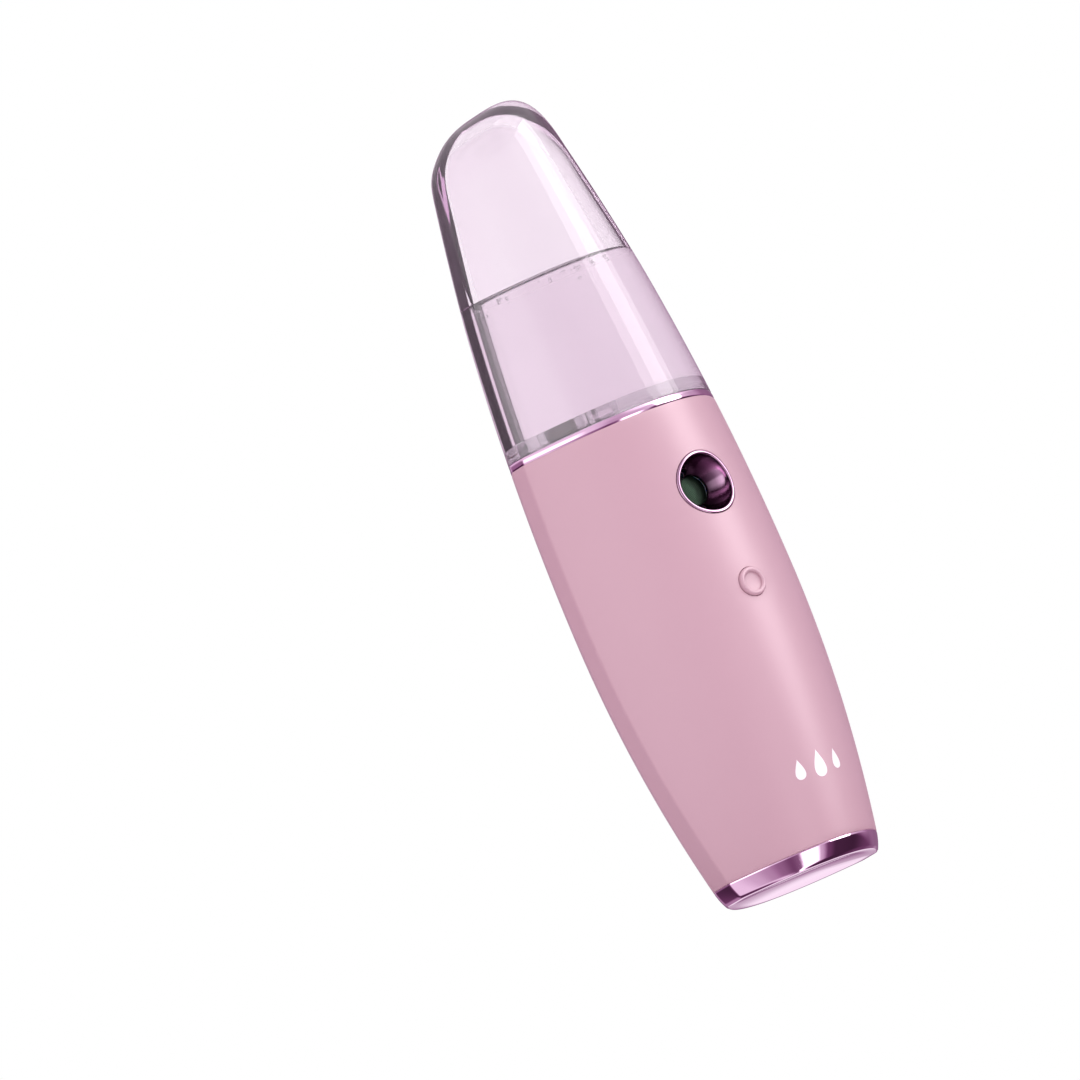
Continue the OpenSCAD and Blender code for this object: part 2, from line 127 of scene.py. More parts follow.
def section_ring(z, wall=0.0, size=1.0, corner=CORNER_ROUND):
    """One level ring: front face, rounded corner, side flat, and round to the start."""
    w, d, f = (float(v) for v in section_sizes(z, wall))
    corner = min(corner, CORNER_MOST * f)
    reach = 1 - FACE_STOP * corner / w
    across = np.linspace(-reach, reach, FACE_STEPS)
    front = np.column_stack([w * across, -(d - (d - f) * across**2)])
    turn = np.linspace(0, 1, CORNER_STEPS + 2)[1:-1, None]

    def rounded(a, b, c):
        return (1 - turn) ** 2 * a + 2 * turn * (1 - turn) * b + turn**2 * c

    flat_start = np.array([w, -f + corner])
    flat_end = np.array([w, f - corner])
    right = [
        rounded(front[-1], np.array([w, -f]), flat_start),
        flat_start[None],
        flat_end[None],
        rounded(flat_end, np.array([w, f]), -front[0]),
    ]
    half = np.vstack([front, *right])
    return np.vstack([half, -half]) * size


def ease(t):
    t = np.clip(t, 0, 1)
    return t * t * (3 - 2 * t)


def slanted(points):
    """The tank's top leans: it lifts the side towards +X."""
    points = points.copy()
    lift = ease((points[:, 2] - SLANT_START_Z) / (TANK_TOP_Z - SLANT_START_Z))
    points[:, 2] += TOP_SLANT * points[:, 0] * lift
    return points


def laid_at(ring, z):
    """A flat ring's points at a height."""
    return np.column_stack([ring, np.full(len(ring), float(z))])


def level_ring_at(section_z, wall, z):
    """The section of one height, laid at another."""
    return laid_at(section_ring(section_z, wall), z)


def level_ring(z, wall=0.0):
    """The section of a height, set in by a wall."""
    return level_ring_at(z, wall, z)


def dome_ring(angle, wall):
    """A ring of the tank's rounded top, from 0 degrees at the shoulder to 90 at the crown."""
    share = 2 / DOME_POWER
    z = TANK_TOP_Z - wall - SHOULDER_H * (1 - math.sin(angle) ** share)
    ring = section_ring(z, wall, math.cos(angle) ** share)
    return slanted(laid_at(ring, z))


# ---------------------------------------------------------------- mesh building


def loft(rings, closed=False, start_cap=False, end_cap=False):
    """Quads through rings of equal count; caps are fans round a middle point."""
    n = len(rings[0])
    verts = np.vstack(rings)
    spans = len(rings) if closed else len(rings) - 1
    faces = []
    for k in range(spans):
        a, b = k * n, ((k + 1) % len(rings)) * n
        faces += [(a + j, a + (j + 1) % n, b + (j + 1) % n, b + j) for j in range(n)]
    for wanted, first, flip in ((start_cap, 0, True), (end_cap, (len(rings) - 1) * n, False)):
        if wanted:
            verts = np.vstack([verts, verts[first : first + n].mean(0)])
            middle = len(verts) - 1
            for j in range(n):
                a, b = first + j, first + (j + 1) % n
                faces.append((b, a, middle) if flip else (a, b, middle))
    return verts, faces


def signed_volume(verts, faces):
    total = 0.0
    for f in faces:
        for i in range(1, len(f) - 1):
            total += np.dot(verts[f[0]], np.cross(verts[f[i]], verts[f[i + 1]]))
    return total / 6


def outward(verts, faces):
    """The same solid with its faces turned outwards."""
    if signed_volume(verts, faces) < 0:
        faces = [tuple(reversed(f)) for f in faces]
    return verts, faces


def joined(*parts):
    """Several solids as one mesh."""
    verts, faces, first = [], [], 0
    for v, f in parts:
        verts.append(v)
        faces += [tuple(i + first for i in face) for face in f]
        first += len(v)
    return np.vstack(verts), faces


def mesh_object(name, verts, faces, sharp_angle=38):
    mesh = bpy.data.meshes.new(name)
    mesh.from_pydata((np.asarray(verts) * MM).tolist(), [], faces)
    mesh.validate()
    mesh.shade_smooth()
    mesh.set_sharp_from_angle(angle=math.radians(sharp_angle))
    obj = bpy.data.objects.new(name, mesh)
    bpy.context.scene.collection.objects.link(obj)
    return obj


def cut(obj, cutters, sharp_angle=38):
    """Cuts solids out of a piece and removes the cutters."""
    for i, cutter in enumerate(cutters):
        modifier = obj.modifiers.new(f"hole_{i}", "BOOLEAN")
        modifier.operation = "DIFFERENCE"
        modifier.solver = "EXACT"
        modifier.object = cutter
    bpy.context.view_layer.update()
    evaluated = obj.evaluated_get(bpy.context.evaluated_depsgraph_get())
    mesh = bpy.data.meshes.new_from_object(evaluated)
    obj.modifiers.clear()
    old, obj.data = obj.data, mesh
    bpy.data.meshes.remove(old)
    for cutter in cutters:
        bpy.data.objects.remove(cutter)
    mesh.shade_smooth()
    mesh.set_sharp_from_angle(angle=math.radians(sharp_angle))


def polar_solid(x0, z0, profile, side=-1, steps=96, closed=True):
    """A round solid about a line along Y. A profile point is (radius, y, share):
    share says how far the ring follows the body's curved face instead of lying flat."""
    turn = np.linspace(0, 2 * math.pi, steps, endpoint=False)
    middle = face_depth(x0, z0)
    rings = []
    for radius, y, share in profile:
        x, z = x0 + radius * np.cos(turn), z0 + radius * np.sin(turn)
        follow = side * (face_depth(x, z) - middle) * share
        rings.append(np.column_stack([x, y + follow, z]))
    return outward(*loft(rings, closed, not closed, not closed))


def circle(steps):
    """Points on a circle of radius 1."""
    turn = np.linspace(0, 2 * math.pi, steps, endpoint=False)
    return np.column_stack([np.cos(turn), np.sin(turn)])


def place(obj, body, slot, *nodes):
    if nodes:
        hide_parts(*nodes)
    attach(obj, body)
    return obj


# ---------------------------------------------------------------- camera

CAMERA_AZIMUTH = math.radians(-37.1)
CAMERA_ELEVATION = math.radians(-7.2)
CAMERA_ROLL = math.radians(23.17)
CAMERA_DISTANCE = 2.6
VIEW_WIDTH = 0.180
BASE_RIGHT_OF_MIDDLE = 0.0438
BASE_BELOW_MIDDLE = 0.05657


def make_camera():
    a, e, r = CAMERA_AZIMUTH, CAMERA_ELEVATION, CAMERA_ROLL
    back = Vector((math.sin(a) * math.cos(e), -math.cos(a) * math.cos(e), math.sin(e)))
    level = Vector((math.cos(a), math.sin(a), 0))
    upright = back.cross(level)
    right = math.cos(r) * level - math.sin(r) * upright
    up = math.sin(r) * level + math.cos(r) * upright
    target = up * BASE_BELOW_MIDDLE - right * BASE_RIGHT_OF_MIDDLE
    data = bpy.data.cameras.new("camera")
    data.sensor_width = 36
    data.lens = 36 * CAMERA_DISTANCE / VIEW_WIDTH
    data.clip_start, data.clip_end = 0.05, 50
    camera = bpy.data.objects.new("camera", data)
    turn = Matrix((right, up, back)).transposed().to_4x4()
    camera.matrix_world = Matrix.Translation(target + back * CAMERA_DISTANCE) @ turn
    bpy.context.scene.collection.objects.link(camera)
    bpy.context.scene.camera = camera


make_camera()

# ---------------------------------------------------------------- material helpers


def add(tree, kind, settings=None, **inputs):
    """A node with its settings, and its inputs given as values or as (node, output).
    An input is named by its label, or by i and its number."""
    node = tree.nodes.new(kind)
    for key, value in (settings or {}).items():
        setattr(node, key, value)
    for key, value in inputs.items():
        numbered = key[0] == "i" and key[1:].isdigit()
        socket = node.inputs[int(key[1:]) if numbered else key.replace("_", " ")]
        feed(tree, socket, value)
    return node


def feed(tree, socket, value):
    if isinstance(value, tuple) and isinstance(value[0], bpy.types.Node):
        tree.links.new(value[0].outputs[value[1]], socket)
    else:
        socket.default_value = value


def math_node(tree, operation, a, b=0.0, c=0.0):
    return (add(tree, "ShaderNodeMath", {"operation": operation}, i0=a, i1=b, i2=c), 0)


def ramp(tree, factor, stops, interpolation="LINEAR"):
    """A colour ramp from (position, colour or grey) stops."""
    node = add(tree, "ShaderNodeValToRGB", i0=factor)
    node.color_ramp.interpolation = interpolation
    elements = node.color_ramp.elements
    while len(elements) < len(stops):
        elements.new(0.5)
    for element, (position, value) in zip(elements, stops):
        element.position = position
        colour = value if isinstance(value, tuple) else (value,) * 3
        element.color = (*colour, 1)
    return (node, 0)


def new_group(name, inputs, outputs):
    """A shader node group with named inputs and outputs."""
    tree = bpy.data.node_groups.new(name, "ShaderNodeTree")
    for label, kind, value in inputs:
        socket = tree.interface.new_socket(name=label, in_out="INPUT", socket_type=kind)
        socket.default_value = value
    for label, kind in outputs:
        tree.interface.new_socket(name=label, in_out="OUTPUT", socket_type=kind)
    return tree, tree.nodes.new("NodeGroupInput"), tree.nodes.new("NodeGroupOutput")


FLOAT, COLOUR = "NodeSocketFloat", "NodeSocketColor"


def moulded_grain_group():
    """Fine grain of a moulded or sprayed skin, with a slow drift of tone and gloss."""
    tree, given, out = new_group(
        "moulded_grain",
        [("Tone", COLOUR, (0.8, 0.8, 0.8, 1)), ("Drift", FLOAT, 0.03), ("Gloss", FLOAT, 0.4),
         ("Gloss Drift", FLOAT, 0.05), ("Grain Size", FLOAT, 0.0002)],
        [("Color", COLOUR), ("Roughness", FLOAT), ("Height", FLOAT)],
    )
    spot = (add(tree, "ShaderNodeTexCoord"), "Object")
    fineness = math_node(tree, "DIVIDE", 1.0, (given, "Grain Size"))
    grain = add(tree, "ShaderNodeTexNoise", Vector=spot, Scale=fineness, Detail=2.0, Roughness=0.6)
    drift = add(tree, "ShaderNodeTexNoise", Vector=spot, Scale=55.0, Detail=3.0, Roughness=0.55)
    centred = math_node(tree, "SUBTRACT", (drift, 0), 0.5)
    level = math_node(tree, "MULTIPLY_ADD", centred, (given, "Drift"), 1.0)
    fleck = math_node(tree, "SUBTRACT", (grain, 0), 0.5)
    level = math_node(tree, "MULTIPLY_ADD", fleck, (given, "Drift"), level)
    tone = add(tree, "ShaderNodeVectorMath", {"operation": "SCALE"}, i0=(given, "Tone"), Scale=level)
    gloss = math_node(tree, "MULTIPLY_ADD", centred, (given, "Gloss Drift"), (given, "Gloss"))
    feed(tree, out.inputs["Color"], (tone, 0))
    feed(tree, out.inputs["Roughness"], gloss)
    feed(tree, out.inputs["Height"], (grain, 0))
    return tree


def handled_gloss_group():
    """Roughness of a polished skin that has been wiped and handled: smudges and hairlines."""
    tree, given, out = new_group(
        "handled_gloss",
        [("Gloss", FLOAT, 0.08), ("Smudge", FLOAT, 0.1), ("Hairline", FLOAT, 0.05)],
        [("Roughness", FLOAT), ("Height", FLOAT), ("Smudge Mask", FLOAT)],
    )
    spot = (add(tree, "ShaderNodeTexCoord"), "Object")
    smudge = add(tree, "ShaderNodeTexNoise", Vector=spot, Scale=90.0, Detail=4.0, Roughness=0.6,
                 Distortion=0.8)
    patch = add(tree, "ShaderNodeMapRange", {"interpolation_type": "SMOOTHSTEP"},
                Value=(smudge, 0), From_Min=0.5, From_Max=0.75)
    stretch = add(tree, "ShaderNodeMapping", Vector=spot, Rotation=(0.2, 0.5, 0.3),
                  Scale=(2600.0, 2600.0, 90.0))
    hair = add(tree, "ShaderNodeTexNoise", Vector=(stretch, 0), Scale=1.0, Detail=1.0)
    line = add(tree, "ShaderNodeMapRange", Value=(hair, 0), From_Min=0.6, From_Max=0.75)
    gloss = math_node(tree, "MULTIPLY_ADD", (patch, 0), (given, "Smudge"), (given, "Gloss"))
    gloss = math_node(tree, "MULTIPLY_ADD", (line, 0), (given, "Hairline"), gloss)
    feed(tree, out.inputs["Roughness"], gloss)
    feed(tree, out.inputs["Height"], (line, 0))
    feed(tree, out.inputs["Smudge Mask"], (patch, 0))
    return tree


MOULDED_GRAIN = moulded_grain_group()
HANDLED_GLOSS = handled_gloss_group()


def material(name):
    made = bpy.data.materials.new(name)
    made.use_nodes = True
    tree = made.node_tree
    return made, tree, tree.nodes["Principled BSDF"]


def use_group(tree, group, **inputs):
    node = tree.nodes.new("ShaderNodeGroup")
    node.node_tree = group
    for key, value in inputs.items():
        feed(tree, node.inputs[key.replace("_", " ")], value)
    return node


def bumped(tree, shader, height, distance, strength=1.0):
    bump = add(tree, "ShaderNodeBump", Height=height, Distance=distance, Strength=strength)
    tree.links.new(bump.outputs[0], shader.inputs["Normal"])


def moulded(name, tone, drift=0.04, gloss=0.45, gloss_drift=0.1, grain_size=0.0002,
            grain_height=0.000004, **constants):
    """A moulded or sprayed skin."""
    made, tree, shader = material(name)
    grain = use_group(tree, MOULDED_GRAIN, Tone=(*tone, 1), Drift=drift, Gloss=gloss,
                      Gloss_Drift=gloss_drift, Grain_Size=grain_size)
    tree.links.new(grain.outputs["Color"], shader.inputs["Base Color"])
    tree.links.new(grain.outputs["Roughness"], shader.inputs["Roughness"])
    bumped(tree, shader, (grain, "Height"), grain_height)
    for key, value in constants.items():
        shader.inputs[key.replace("_", " ")].default_value = value
    return made


def polished(name, tone, gloss=0.05, smudge=0.06, hairline=0.02, metal=1.0, **constants):
    """A polished metal or hard gloss skin."""
    made, tree, shader = material(name)
    skin = use_group(tree, HANDLED_GLOSS, Gloss=gloss, Smudge=smudge, Hairline=hairline)
    dulled = tuple(0.94 * c for c in tone)
    tint = ramp(tree, (skin, "Smudge Mask"), [(0, tone), (1, dulled)])
    tree.links.new(tint[0].outputs[0], shader.inputs["Base Color"])
    tree.links.new(skin.outputs["Roughness"], shader.inputs["Roughness"])
    bumped(tree, shader, (skin, "Height"), 0.0000004)
    shader.inputs["Metallic"].default_value = metal
    for key, value in constants.items():
        shader.inputs[key.replace("_", " ")].default_value = value
    return made


def clear(name, tone, ior, gloss, smudge, absorbed=None, density=0.0, haze=0.0):
    """A clear solid or liquid, with its own colour taken up along the light's way."""
    made, tree, shader = material(name)
    skin = use_group(tree, HANDLED_GLOSS, Gloss=gloss, Smudge=smudge, Hairline=smudge / 3)
    dulled = tuple(0.985 * c for c in tone)
    tint = ramp(tree, (skin, "Smudge Mask"), [(0, tone), (1, dulled)])
    tree.links.new(tint[0].outputs[0], shader.inputs["Base Color"])
    tree.links.new(skin.outputs["Roughness"], shader.inputs["Roughness"])
    shader.inputs["Transmission Weight"].default_value = 1.0 - haze
    shader.inputs["IOR"].default_value = ior
    if absorbed:
        volume = add(tree, "ShaderNodeVolumeAbsorption", Color=(*absorbed, 1), Density=density)
        tree.links.new(volume.outputs[0], tree.nodes["Material Output"].inputs["Volume"])
    return made


# ---------------------------------------------------------------- materials

soft_pink = moulded("soft_pink", (0.55, 0.345, 0.402), drift=0.03, gloss=0.41, gloss_drift=0.06,
                    grain_size=0.00016, grain_height=0.0000025, Specular_IOR_Level=0.6)
plum_chrome = polished("plum_chrome", (0.80, 0.56, 0.74), gloss=0.045, smudge=0.05, hairline=0.02)
clear_lilac = clear("clear_lilac", (0.99, 0.955, 0.985), 1.49, 0.0, 0.03, (0.78, 0.30, 0.72),
                    27.0, haze=0.04)
clear_floor = clear("clear_floor", (0.99, 0.94, 0.985), 1.49, 0.0, 0.03, (0.78, 0.30, 0.72), 4.0,
                    haze=0.12)
still_water = clear("still_water", (1.0, 1.0, 1.0), 1.333, 0.0, 0.0, (0.764, 0.56, 0.715), 18.0)
pale_plastic = moulded("pale_plastic", (0.70, 0.64, 0.70), drift=0.05, gloss=0.5,
                       grain_size=0.0003)
black_plastic = moulded("black_plastic", (0.02, 0.02, 0.023), drift=0.2, gloss=0.42,
                        grain_size=0.00025, grain_height=0.000006)
white_plastic = moulded("white_plastic", (0.82, 0.81, 0.80), drift=0.03, gloss=0.35)
print_white = moulded("print_white", (0.92, 0.91, 0.92), drift=0.03, gloss=0.38,
                      grain_size=0.00012, grain_height=0.000003)
lead_red = moulded("lead_red", (0.42, 0.03, 0.03), drift=0.12, gloss=0.3, grain_size=0.0006)
silicone = moulded("silicone", (0.80, 0.76, 0.80), drift=0.05, gloss=0.38, grain_size=0.0004,
                   Subsurface_Weight=0.5, Subsurface_Scale=0.002, Coat_Weight=0.1)
screw_steel = polished("screw_steel", (0.62, 0.62, 0.63), gloss=0.22, smudge=0.12, hairline=0.12,
                       Anisotropic=0.4)


def foam_material():
    """Closed-cell foam with open cells on its cut faces."""
    made, tree, shader = material("foam")
    spot = (add(tree, "ShaderNodeTexCoord"), "Object")
    cells = add(tree, "ShaderNodeTexVoronoi", Vector=spot, Scale=1600.0)
    # Painted shade: the cell hollows are coloured darker than the cell walls.
    tint = ramp(tree, (cells, 0), [(0, 0.012), (0.5, 0.04), (1, 0.07)])
    tree.links.new(tint[0].outputs[0], shader.inputs["Base Color"])
    shader.inputs["Roughness"].default_value = 0.9
    bumped(tree, shader, (cells, 0), 0.0002)
    return made


def board_material():
    """A solder-masked circuit board: copper runs under the mask, and tinned pads."""
    made, tree, shader = material("circuit_green")
    spot = (add(tree, "ShaderNodeTexCoord"), "Object")
    runs = add(tree, "ShaderNodeTexBrick", {"offset": 0.37, "squash": 0.6, "squash_frequency": 3},
               Vector=(add(tree, "ShaderNodeMapping", Vector=spot, Rotation=(1.5708, 0.0, 0.0)), 0),
               Scale=260.0, Mortar_Size=0.035, Brick_Width=0.9, Row_Height=0.32,
               Color1=(0.01, 0.115, 0.045, 1), Color2=(0.015, 0.14, 0.055, 1),
               Mortar=(0.03, 0.21, 0.085, 1))
    pads = add(tree, "ShaderNodeTexVoronoi", Vector=spot, Scale=420.0, Randomness=0.35)
    pad = add(tree, "ShaderNodeMapRange", Value=(pads, 0), From_Min=0.2, From_Max=0.16)
    tint = add(tree, "ShaderNodeMix", {"data_type": "RGBA"}, i0=(pad, 0), i6=(runs, 0),
               i7=(0.55, 0.53, 0.5, 1))
    tree.links.new(tint.outputs[2], shader.inputs["Base Color"])
    skin = use_group(tree, HANDLED_GLOSS, Gloss=0.22, Smudge=0.15, Hairline=0.05)
    tree.links.new(skin.outputs["Roughness"], shader.inputs["Roughness"])
    tree.links.new(pad.outputs[0], shader.inputs["Metallic"])
    bumped(tree, shader, (runs, 1), 0.00003)
    return made


def cell_wrap_material():
    """The battery cell's shrink wrap: gloss blue with soft wrinkles, and a bare end."""
    made, tree, shader = material("cell_wrap")
    spot = (add(tree, "ShaderNodeTexCoord"), "Object")
    _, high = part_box("battery")
    height = add(tree, "ShaderNodeSeparateXYZ", i0=spot)
    bare = math_node(tree, "GREATER_THAN", (height, 2), high.z - 0.0009)
    stretch = add(tree, "ShaderNodeMapping", Vector=spot, Scale=(260.0, 260.0, 40.0))
    wrinkle = add(tree, "ShaderNodeTexNoise", Vector=(stretch, 0), Scale=1.0, Detail=3.0)
    blue = ramp(tree, (wrinkle, 0), [(0.3, (0.035, 0.10, 0.24)), (0.7, (0.05, 0.13, 0.29))])
    tint = add(tree, "ShaderNodeMix", {"data_type": "RGBA"}, i0=bare, i6=blue,
               i7=(0.6, 0.6, 0.6, 1))
    tree.links.new(tint.outputs[2], shader.inputs["Base Color"])
    tree.links.new(bare[0].outputs[0], shader.inputs["Metallic"])
    rough = add(tree, "ShaderNodeMapRange", Value=(wrinkle, 0), To_Min=0.16, To_Max=0.34)
    tree.links.new(rough.outputs[0], shader.inputs["Roughness"])
    bumped(tree, shader, (wrinkle, 0), 0.00006)
    return made


def mesh_metal_material():
    """The mist disc: dark metal with a close pattern of tiny holes painted near black as painted shade."""
    made, tree, shader = material("mesh_metal")
    spot = (add(tree, "ShaderNodeTexCoord"), "Object")
    skew = add(tree, "ShaderNodeMapping", Vector=spot, Rotation=(0.0, 0.6, 0.0),
               Scale=(1.0, 0.001, 1.15))
    holes = add(tree, "ShaderNodeTexVoronoi", Vector=(skew, 0), Scale=2900.0, Randomness=0.06)
    # Painted shade: the hole spots are near black, standing for the shade seen through the holes.
    land = add(tree, "ShaderNodeMapRange", Value=(holes, 0), From_Min=0.26, From_Max=0.36)
    tint = ramp(tree, (land, 0), [(0, (0.004, 0.006, 0.005)), (1, (0.017, 0.032, 0.02))])
    tree.links.new(tint[0].outputs[0], shader.inputs["Base Color"])
    shader.inputs["Metallic"].default_value = 0.9
    rough = add(tree, "ShaderNodeMapRange", Value=(land, 0), To_Min=0.7, To_Max=0.3)
    tree.links.new(rough.outputs[0], shader.inputs["Roughness"])
    bumped(tree, shader, (land, 0), 0.00003)
    return made


foam = foam_material()
circuit_green = board_material()
cell_wrap = cell_wrap_material()
mesh_metal = mesh_metal_material()

CARRIED_OVER = {
    "chassis": pale_plastic, "mist_holder": pale_plastic, "deck": pale_plastic,
    "base_screws": screw_steel, "deck_screws": screw_steel, "battery": cell_wrap,
    "battery_pads": foam, "main_board": circuit_green, "charge_board": circuit_green,
    "switch_body": black_plastic, "switch_plunger": white_plastic, "mesh_gaskets": silicone,
    "water_duct": silicone, "slit_valve": silicone, "neck_seal": silicone,
    "fill_plug": silicone, "mesh_leads": lead_red,
}
for node_name, finish in CARRIED_OVER.items():
    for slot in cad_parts[node_name].material_slots:
        slot.material = finish

# ---------------------------------------------------------------- grip shell

NOZZLE_X, NOZZLE_Z = 0.0, (nozzle_low[2] + nozzle_high[2]) / 2
FLANGE_R = (nozzle_high[2] - nozzle_low[2]) / 2
NOZZLE_R = FLANGE_R - 1
MOUTH_R = 5.0
THROAT_R = 2.6
THROAT_Y = gasket_low[1]
FLANGE_T = 1.4
THROAT_EDGE = 0.4
FUNNEL_SHARE = 0.55
BUTTON_Z = (button_low[2] + button_high[2]) / 2
BUTTON_R = 2.5
SOCKET_Z = (socket_low[2] + socket_high[2]) / 2
SOCKET_R = 1.6
SOCKET_FACE_Y = socket_high[1]
SOCKET_FLANGE = 0.7
SOCKET_X = socket_high[0] - SOCKET_R - SOCKET_FLANGE
SEAM_ROUND = 0.22
FIT_GAP = 0.06
PAST_WALL = 4.0
CLEAR_OF_FACE = -1.5
# The softened edge of a hole, as (added radius, depth).
HOLE_LIP = ((0.0, 0.12), (0.03, 0.05), (0.1, 0.0), (0.24, -0.05))


def sleeve_rings(bottom_z, top_z, outer, inner, levels, rim=SEAM_ROUND):
    """A closed wall between two offsets, with small rounded rims."""
    rings = [level_ring(z, outer) for z in np.linspace(bottom_z + rim, top_z - rim, levels)]
    rings += [level_ring(top_z - rim * (1 - u), outer + rim * (1 - v))
              for u, v in ((0.5, 0.87), (0.87, 0.5))]
    rings += [level_ring(top_z, outer + rim), level_ring(top_z, inner - rim)]
    rings += [level_ring(z, inner) for z in np.linspace(top_z - rim, bottom_z + rim, levels)]
    rings += [level_ring(bottom_z, inner - rim), level_ring(bottom_z, outer + rim)]
    rings += [level_ring(bottom_z + rim * (1 - u), outer + rim * (1 - v))
              for u, v in ((0.87, 0.5), (0.5, 0.87))]
    return rings


def bore(x0, z0, steps_in, side, name):
    """A round cutter through the grip's wall. steps_in holds (radius, depth): the
    depth is measured inwards from the curved face, and is negative outside it."""
    surface = side * face_depth(x0, z0)
    profile = [(r, surface - side * depth, 1.0) for r, depth in steps_in]
    return mesh_object(name, *polar_solid(x0, z0, profile, side, 96, closed=False))


def true_face_normals(mesh):
    """Gives the front and back faces the exact normals of their curve, so that light
    runs cleanly past the holes cut in them."""
    co = np.zeros(len(mesh.vertices) * 3, np.float32)
    mesh.vertices.foreach_get("co", co)
    co = co.reshape(-1, 3) / MM
    x, y, z = co.T
    step = 0.05
    side = np.sign(y)
    slope_x = (face_depth(x + step, z) - face_depth(x - step, z)) / (2 * step)
    slope_z = (face_depth(x, z + step) - face_depth(x, z - step)) / (2 * step)
    normal = np.column_stack([-slope_x, side, -slope_z])
    normal /= np.linalg.norm(normal, axis=1)[:, None]
    off = np.abs(np.abs(y) - face_depth(x, z))
    w, _, _ = section_sizes(z, 0.0)
    on_face = (off < 0.01) & (np.abs(x) < w - 0.3)
    on_face &= (z > GRIP_BOTTOM_Z + SEAM_ROUND * 1.01) & (z < GRIP_TOP_Z - SEAM_ROUND * 1.01)
    given = np.zeros((len(mesh.loops), 3))
    for face in mesh.polygons:
        if all(on_face[v] for v in face.vertices):
            mean = normal[list(face.vertices)].mean(0)
            if np.dot(mean, face.normal) > 0.995:
                for loop, v in zip(face.loop_indices, face.vertices):
                    given[loop] = normal[v]
    mesh.normals_split_custom_set(given.tolist())


def edged_hole(radius):
    """The steps of a hole for a part of this radius."""
    start = radius + FIT_GAP
    lip = [(start + wider, depth) for wider, depth in HOLE_LIP]
    return [(start, PAST_WALL), *lip, (radius + 0.6, CLEAR_OF_FACE)]


def socket_hole(depth):
    """The steps of a contact's hole, in a soft dish down to this depth."""
    r = SOCKET_R
    return [(r + 0.05, PAST_WALL), (r + 0.05, depth + 0.05), (r + 0.12, depth), (r + 0.22, depth * 0.6),
            (r + 0.36, depth * 0.2), (r + 0.5, 0.03), (r + 0.75, -0.06), (r + 1.2, CLEAR_OF_FACE)]


def make_grip():
    """The satin sleeve, with its nozzle, button and contact holes."""
    obj = mesh_object("grip_shell", *outward(*loft(
        sleeve_rings(GRIP_BOTTOM_Z, GRIP_TOP_Z, 0.0, GRIP_WALL, 76), closed=True)))
    cutters = [bore(NOZZLE_X, NOZZLE_Z, edged_hole(NOZZLE_R), -1, "nozzle_hole"),
               bore(0.0, BUTTON_Z, edged_hole(BUTTON_R), -1, "button_hole")]
    for x in (-SOCKET_X, SOCKET_X):
        depth = face_depth(x, SOCKET_Z) - SOCKET_FACE_Y
        cutters.append(bore(x, SOCKET_Z, socket_hole(depth), 1, "socket_dish"))
    cut(obj, cutters)
    true_face_normals(obj.data)
    obj.data.materials.append(soft_pink)
    return place(obj, "grip", "soft_pink", "housing")


make_grip()

# ---------------------------------------------------------------- base shoe and trim band

CAP_H = GRIP_BOTTOM_Z
SPIGOT_OFFSET = GRIP_WALL + 0.05
SPIGOT_WALL = 1.2
SPIGOT_TOP_Z = cap_high[2] - 0.6
CAP_FLOOR_T = 1.2
BASE_TUCK = 0.5
FOOT_ROUND = 0.35
DISH_RIM = 1.5
DISH_DEPTH = 0.55
DISH_STEPS = 16
DISH_MIDDLE = 0.02
BOSS_R = 2.6
BOSS_HOLE_R = 1.0
SCREW_HEAD_R = 1.9


def make_base():
    """The bright base: a tucked-in skirt, a rounded foot rim and a dished underside."""
    dish_edge = section_ring(0.0, BASE_TUCK + FOOT_ROUND + DISH_RIM, corner=1.2)
    rings = []
    for k in range(DISH_STEPS, 0, -1):
        inwards = k / DISH_STEPS
        size = 1 + DISH_MIDDLE - inwards
        rings.append(laid_at(dish_edge * size, DISH_DEPTH * (1 - (1 - inwards) ** 2)))
    rings.append(level_ring_at(0.0, BASE_TUCK + FOOT_ROUND + DISH_RIM * 0.9, 0.0))
    rings.append(level_ring_at(0.0, BASE_TUCK + FOOT_ROUND, 0.0))
    for a in (22.5, 45, 67.5):
        a = math.radians(a)
        rings.append(level_ring_at(0.0, BASE_TUCK + FOOT_ROUND * (1 - math.sin(a)),
                                   FOOT_ROUND * (1 - math.cos(a))))
    for z in np.linspace(FOOT_ROUND, CAP_H - 0.15, 12):
        rings.append(level_ring(z, BASE_TUCK * (1 - z / CAP_H) ** 2))
    rings += [level_ring(CAP_H - 0.04, 0.04), level_ring(CAP_H, 0.15)]
    rings += [level_ring(CAP_H, SPIGOT_OFFSET - 0.02), level_ring(CAP_H + 0.05, SPIGOT_OFFSET)]
    rings += [level_ring(SPIGOT_TOP_Z - 0.2, SPIGOT_OFFSET)]
    rings += [level_ring(SPIGOT_TOP_Z, SPIGOT_OFFSET + 0.2)]
    rings += [level_ring(SPIGOT_TOP_Z, SPIGOT_OFFSET + SPIGOT_WALL)]
    rings += [level_ring(CAP_FLOOR_T, SPIGOT_OFFSET + SPIGOT_WALL)]
    shell = outward(*loft(rings, start_cap=True, end_cap=True))
    screw_x = box_mm("base_screws")[1][0] - SCREW_HEAD_R
    boss_top = cap_high[2]
    profile = ((BOSS_R, CAP_FLOOR_T), (BOSS_R, boss_top - 0.15), (BOSS_R - 0.15, boss_top),
               (BOSS_HOLE_R + 0.1, boss_top), (BOSS_HOLE_R, boss_top - 0.1), (BOSS_HOLE_R, CAP_FLOOR_T))
    bosses = []
    for x in (-screw_x, screw_x):
        rows = [laid_at(circle(40) * r + [x, 0], z) for r, z in profile]
        bosses.append(outward(*loft(rows, closed=True)))
    obj = mesh_object("base_shoe", *joined(shell, *bosses), sharp_angle=50)
    obj.data.materials.append(plum_chrome)
    return place(obj, "grip", "plum_chrome", "base_cap")


BAND_SET_IN = 0.14
BAND_ROUNDNESS = 2.6


